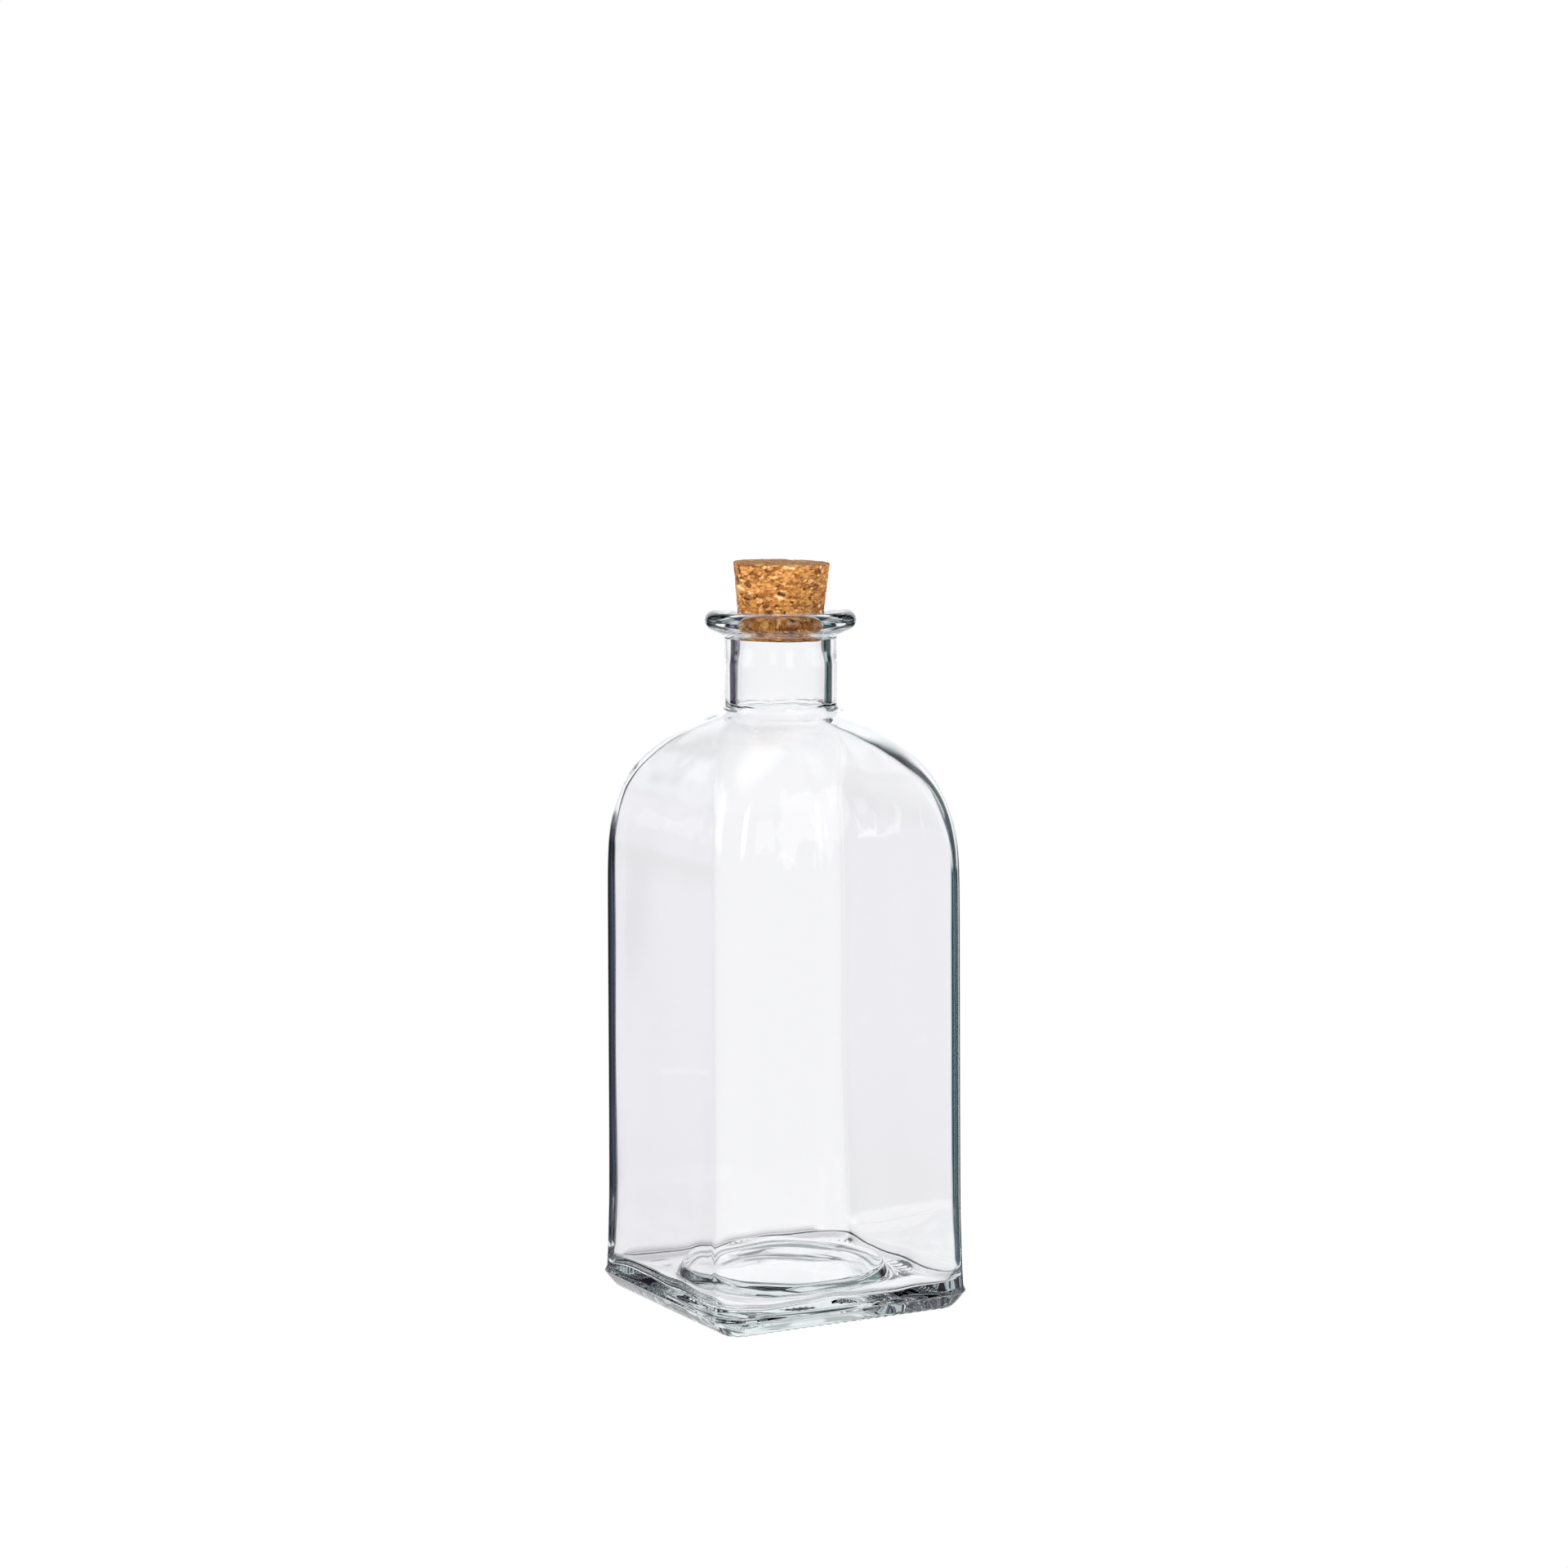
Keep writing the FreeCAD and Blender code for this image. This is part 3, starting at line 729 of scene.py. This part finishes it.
def soft_box(az, el, az0, az1, el0, el1, soft_az=2.0, soft_el=2.0):
    """1 inside a window of directions (degrees), 0 outside, soft edges."""
    a = smoothstep(az0 - soft_az, az0 + soft_az, az) * (1 - smoothstep(az1 - soft_az, az1 + soft_az, az))
    e = smoothstep(el0 - soft_el, el0 + soft_el, el) * (1 - smoothstep(el1 - soft_el, el1 + soft_el, el))
    return a * e


BACKDROP = np.array([1.069, 1.070, 1.086])


def studio_light(az, el):
    """Light that reaches the bottle from each direction. az: degrees to the
    right of straight behind the bottle; el: degrees up."""
    shape = az.shape + (1,)
    side = az.reshape(shape)
    up = el.reshape(shape)
    # cards close in from both sides below the height of the neck
    low = (1 - smoothstep(-7.9, -5.9, up)) * smoothstep(-17.5, -13.4, up)
    wide = 1 - smoothstep(-27, -16, up)
    r0 = 24 + (np.array([7.5, 8.0, 8.0]) - 24) * low + 22 * wide
    r1 = 33 + (np.array([19.0, 21.0, 21.5]) - 33) * low + 30 * wide
    l0 = 24 + (17 - 24) * low + 22 * wide
    l1 = 33 + (23 - 33) * low + 30 * wide
    t = np.clip((side - r0) / (r1 - r0), 0, 1)
    right = 1 - t * t * (3 - 2 * t)
    t = np.clip((-side - l0) / (l1 - l0), 0, 1)
    left = 1 - t * t * (3 - 2 * t)
    back = left * right * (1 - smoothstep(48, 60, up))
    back = back * (1 - np.array([0.80, 0.74, 0.75]) * smoothstep(21, 36, up))
    # painted shadow: directions down towards the table are dimmed to half, standing in for the bottle's own shadow on
    # the table under it
    back = back * (1 - 0.50 * (1 - smoothstep(-60, -26, up)))
    # the white table lights everything from below
    table = (1 - smoothstep(-22, -15, up)) * (1 - smoothstep(95, 150, np.abs(side)))
    back = np.maximum(back, 0.52 * table)
    # seen from high up, the bottle stands against the white table
    back = np.maximum(back, 0.93 * (1 - smoothstep(-74, -60, up)))
    out = back * BACKDROP
    # dark cards: blackish, with a green-blue one further round to the right
    teal = smoothstep(38, 46, side) * (1 - smoothstep(75, 100, side))
    out = out + np.array([0.021, 0.019, 0.027]) * (1 - teal) + np.array([0.014, 0.050, 0.058]) * teal
    out = out + soft_box(side, up, 45, 72, -24, -7.1, 2.5, 0.6) * np.array([0.05, 0.09, 0.10])
    # a weak lavender fill from the left
    fill = soft_box(side, up, -64, -50, -13.8, 9, 3.0, 1.5) * (1 - soft_box(side, up, -90, 0, -6.3, -3.6, 2.0, 0.4))
    out = out + fill * np.array([0.20, 0.155, 0.27])
    # lamps to both sides, above the level of the body
    out = out + soft_box(side, up, -112, -78, 6, 44, 3.0, 3.0) * np.array([0.95, 0.97, 1.0])
    out = out + soft_box(side, up, 74, 100, 4, 40, 3.0, 3.0) * np.array([0.75, 0.78, 0.80])
    out = out + soft_box(side, up, 150, 168, 8, 40, 2.0, 2.0) * np.array([1.6, 1.6, 1.6])
    out = out + soft_box(side, up, -74, -46, 14, 34, 2.0, 2.0) * np.array([0.50, 0.58, 0.60])
    out = out + soft_box(side, up, 48, 70, 12, 30, 2.0, 2.0) * np.array([0.46, 0.54, 0.56])
    out = out + smoothstep(62, 74, up) * np.array([0.9, 0.9, 0.9])
    return out


def glow_material(name):
    mat = bpy.data.materials.new(name)
    mat.use_nodes = True
    nt = mat.node_tree
    nt.nodes.clear()
    out = nt.nodes.new("ShaderNodeOutputMaterial")
    em = nt.nodes.new("ShaderNodeEmission")
    attr = nt.nodes.new("ShaderNodeVertexColor")
    attr.layer_name = "glow"
    nt.links.new(attr.outputs["Color"], em.inputs["Color"])
    nt.links.new(em.outputs["Emission"], out.inputs["Surface"])
    mat.cycles.emission_sampling = "NONE"
    return mat


def grid_object(name, verts, nu, nv, wrap, colours):
    faces = []
    for j in range(nv - 1):
        for i in range(nu if wrap else nu - 1):
            k = (i + 1) % nu
            faces.append((j * nu + i, j * nu + k, (j + 1) * nu + k, (j + 1) * nu + i))
    ob = new_mesh(name, verts, faces)
    col = ob.data.color_attributes.new("glow", "FLOAT_COLOR", "POINT")
    rgba = np.column_stack([colours, np.ones(len(colours))]).astype(np.float32)
    col.data.foreach_set("color", rgba.ravel())
    ob.data.materials.append(glow_material(name))
    ob.parent = rig
    ob.visible_camera = False
    ob.visible_diffuse = False
    ob.visible_shadow = False
    ob.visible_volume_scatter = False
    return ob


def add_dome():
    nu, nv = 240, 121
    az = np.arange(nu) / nu * 360.0 - 180.0
    el = np.linspace(-89.5, 89.5, nv)
    E, A = np.meshgrid(el, az, indexing="ij")
    a, e = np.radians(A), np.radians(E)
    d = np.stack([np.sin(a) * np.cos(e), np.cos(a) * np.cos(e), np.sin(e)], -1)
    verts = (d * 3.0 + np.array([0, 0, 0.12])).reshape(-1, 3)
    return grid_object("studio_cards", verts, nu, nv, True, studio_light(A, E).reshape(-1, 3))


add_dome()

# small windows and cards far off that mirror in the two near faces (metres,
# in the rig's own directions) and how bright each one is
MIRRORED = (
    (1.05, ((2.062, -1.374, 0.623), (1.981, -1.206, 1.146), (1.936, -1.097, 1.346), (1.989, -1.163, 1.193),
            (1.958, -1.074, 1.342), (1.977, -1.069, 1.322), (2.050, -1.189, 1.052), (2.111, -1.332, 0.588),
            (2.113, -1.373, 0.391), (2.108, -1.391, -0.001), (2.093, -1.404, -0.040), (2.087, -1.419, 0.197))),
    (1.25, ((2.146, -1.339, 0.375), (2.047, -1.117, 1.161), (2.092, -1.177, 0.993), (2.162, -1.302, 0.474))),
    (0.55, ((-2.118, 1.391, 0.221), (-2.103, 1.365, 0.366), (-2.104, 1.338, 0.370), (-2.081, 1.326, 0.487),
            (-2.120, 1.297, 0.238), (-2.119, 1.320, 0.234), (-2.122, 1.334, 0.143), (-2.121, 1.369, 0.148))),
    (0.90, ((2.011, -1.351, 0.835), (2.027, -1.327, 0.849), (2.076, -1.426, 0.278), (2.069, -1.438, 0.185),
            (2.059, -1.431, -0.104), (2.060, -1.448, 0.101))),
    (0.50, ((-2.062, 1.369, -0.392), (-2.064, 1.312, -0.389), (-2.063, 1.310, -0.394), (-2.062, 1.366, -0.397))),
)


def add_mirrored_cards():
    for i, (level, outline_pts) in enumerate(MIRRORED):
        ob = new_mesh("studio_mirrored_%d" % i, outline_pts, [tuple(range(len(outline_pts)))], False)
        col = ob.data.color_attributes.new("glow", "FLOAT_COLOR", "POINT")
        rgba = np.tile(np.array([level, level, level, 1.0], np.float32), (len(outline_pts), 1))
        col.data.foreach_set("color", rgba.ravel())
        ob.data.materials.append(glow_material("studio_mirrored_%d" % i))
        ob.parent = rig
        ob.visible_camera = False
        ob.visible_diffuse = False
        ob.visible_shadow = False
        ob.visible_volume_scatter = False


add_mirrored_cards()


def add_floor():
    """Plain pale floor that the camera sees."""
    s = 6.0
    ob = new_mesh("floor", [(-s, -s, -0.0006), (s, -s, -0.0006), (s, s, -0.0006), (-s, s, -0.0006)], [(0, 1, 2, 3)], False)
    mat = bpy.data.materials.new("floor_white")
    mat.use_nodes = True
    nt = mat.node_tree
    nt.nodes.clear()
    out = nt.nodes.new("ShaderNodeOutputMaterial")
    em = nt.nodes.new("ShaderNodeEmission")
    em.inputs["Color"].default_value = (1, 1, 1, 1)
    em.inputs["Strength"].default_value = 1.0
    nt.links.new(em.outputs["Emission"], out.inputs["Surface"])
    mat.cycles.emission_sampling = "NONE"
    ob.data.materials.append(mat)
    ob.visible_diffuse = False
    ob.visible_glossy = False
    ob.visible_transmission = False
    ob.visible_shadow = False
    return ob


add_floor()


def add_area(name, loc, target, size_x, size_y, power, colour=(1, 1, 1)):
    data = bpy.data.lights.new(name, "AREA")
    data.shape = "RECTANGLE"
    data.size, data.size_y = size_x, size_y
    data.energy = power
    data.color = colour
    ob = bpy.data.objects.new(name, data)
    bpy.context.scene.collection.objects.link(ob)
    d = Vector(target) - Vector(loc)
    ob.location = loc
    ob.rotation_euler = d.to_track_quat("-Z", "Y").to_euler()
    ob.parent = rig
    ob.visible_glossy = False
    ob.visible_transmission = False
    ob.visible_camera = False
    return ob


add_area("key_soft", (-0.9, -1.1, 1.1), (0, 0, 0.2), 0.9, 0.9, 26.0)
add_area("fill_soft", (1.1, -0.9, 0.5), (0, 0, 0.2), 0.8, 1.0, 9.0)

world = bpy.data.worlds.new("studio_world")
bpy.context.scene.world = world
world.use_nodes = True
wt = world.node_tree
wt.nodes.clear()
w_out = wt.nodes.new("ShaderNodeOutputWorld")
w_bg = wt.nodes.new("ShaderNodeBackground")
w_bg.inputs["Color"].default_value = (1, 1, 1, 1)
w_bg.inputs["Strength"].default_value = 1.0
wt.links.new(w_bg.outputs["Background"], w_out.inputs["Surface"])

scene = bpy.context.scene
scene.view_settings.view_transform = "Standard"
scene.view_settings.look = "None"
scene.view_settings.exposure = 0.0
scene.view_settings.gamma = 1.0
scene.cycles.max_bounces = 32
scene.cycles.transmission_bounces = 32
scene.cycles.glossy_bounces = 16
scene.cycles.transparent_max_bounces = 16
scene.cycles.diffuse_bounces = 4
